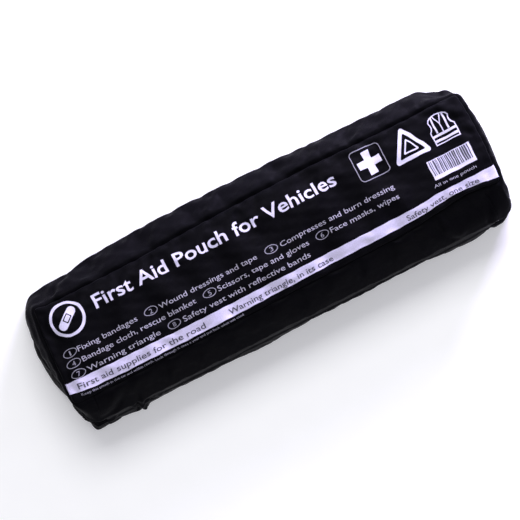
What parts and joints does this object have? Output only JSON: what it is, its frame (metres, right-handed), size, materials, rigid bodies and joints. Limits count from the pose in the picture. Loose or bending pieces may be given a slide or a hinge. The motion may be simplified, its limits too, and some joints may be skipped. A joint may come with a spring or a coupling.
{
  "type": "vehicle first aid pouch",
  "caption": "Long soft black nylon pouch that unzips like a book and holds a folded warning triangle, a warning vest and first aid supplies.",
  "frame": {"origin": "middle of the plane that the pouch rests on, under the middle of its back panel", "axes": "+X along the length, to the right of the printed front; +Y towards the zip's long side, away from the hinge side; +Z out of the printed front panel"},
  "size_m": [0.456, 0.149, 0.072],
  "materials": {
    "pouch_nylon": "matt black coated nylon plain weave",
    "hook_tape": "stiff hooked pile",
    "binding_tape": "ribbed grosgrain",
    "zip_tape": "fine woven tape",
    "zip_teeth": "satin coil",
    "zip_metal": "pressed",
    "slider_enamel": "gloss enamel on die cast zinc",
    "case_plastic": "satin moulded polypropylene",
    "arm_plastic": "moulded",
    "red_reflector": "prismatic, glossy",
    "fluorescent_red": "fluorescent film",
    "plain_steel": "drawn wire, zinc plated",
    "vest_polyester": "fluorescent warp knit",
    "reflective_band": "glass bead reflective",
    "gauze": "open crepe weave",
    "sterile_wrapper": "crimped paper",
    "clear_wrapper": "thin film",
    "foil_wrapper": "metallised film",
    "spool_plastic": "moulded",
    "adhesive_tape": "woven tape",
    "glove_vinyl": "thin vinyl",
    "screen_print": "matt white and lilac ink",
    "paper": "uncoated paper",
    "scissors_steel": "stainless, tumbled"
  },
  "bodies": {
    "tub": {"back_panel": "pouch_nylon", "tub_zip_gusset": "pouch_nylon", "tub_hinge_gusset": "pouch_nylon", "hook_strips": "hook_tape", "back_seam_binding": "binding_tape", "zip_tape_tub": "zip_tape", "zip_teeth_tub": "zip_teeth", "zip_stops_tub": "zip_metal", "triangle_case_tray": "case_plastic", "triangle_case_lid": "case_plastic", "triangle_base_arm": "arm_plastic", "triangle_left_arm": "arm_plastic", "triangle_right_arm": "arm_plastic", "triangle_reflectors": "red_reflector", "triangle_fluorescent_strips": "fluorescent_red", "triangle_rivets": "plain_steel", "triangle_legs": "plain_steel", "folded_vest": "vest_polyester", "vest_reflective_bands": "reflective_band", "wide_fixing_bandages": "gauze", "narrow_fixing_bandages": "gauze", "medium_wound_dressings": "sterile_wrapper", "large_wound_dressing": "sterile_wrapper", "compress_sachets": "sterile_wrapper", "burn_dressing": "foil_wrapper", "triangular_bandage": "clear_wrapper", "rescue_blanket": "foil_wrapper", "plaster_set": "clear_wrapper", "tape_spool": "spool_plastic", "adhesive_tape": "adhesive_tape", "gloves": "glove_vinyl", "cleansing_wipes": "foil_wrapper", "face_masks": "clear_wrapper", "leaflet": "paper", "scissors_lower_half": "scissors_steel", "scissors_rivet": "scissors_steel"},
    "lid": {"front_panel": "pouch_nylon", "lid_zip_gusset": "pouch_nylon", "lid_hinge_gusset": "pouch_nylon", "front_seam_binding": "binding_tape", "zip_tape_lid": "zip_tape", "zip_teeth_lid": "zip_teeth", "zip_stops_lid": "zip_metal"},
    "slider": {"zip_slider": "slider_enamel"},
    "pull": {"zip_pull": "slider_enamel"},
    "scissors_blade": {"scissors_upper_half": "scissors_steel"}
  },
  "joints": [
    {"name": "lid_hinge", "type": "hinge", "parent": "tub", "child": "lid", "pos_m": [0, -0.0725, 0.036], "axis": [1, 0, 0], "range_deg": [0, 180]},
    {"name": "zip_slide", "type": "slide", "parent": "tub", "child": "slider", "axis": [1, 0, 0], "range_m": [-0.31, 0]},
    {"name": "pull_hinge", "type": "hinge", "parent": "slider", "child": "pull", "pos_m": [0.17, 0.071, 0.036], "axis": [0, 0, 1], "range_deg": [-170, 0]},
    {"name": "scissors_pivot", "type": "hinge", "parent": "tub", "child": "scissors_blade", "pos_m": [-0.104, 0, 0.062], "axis": [0, 0, 1], "range_deg": [0, 36]}
  ]
}
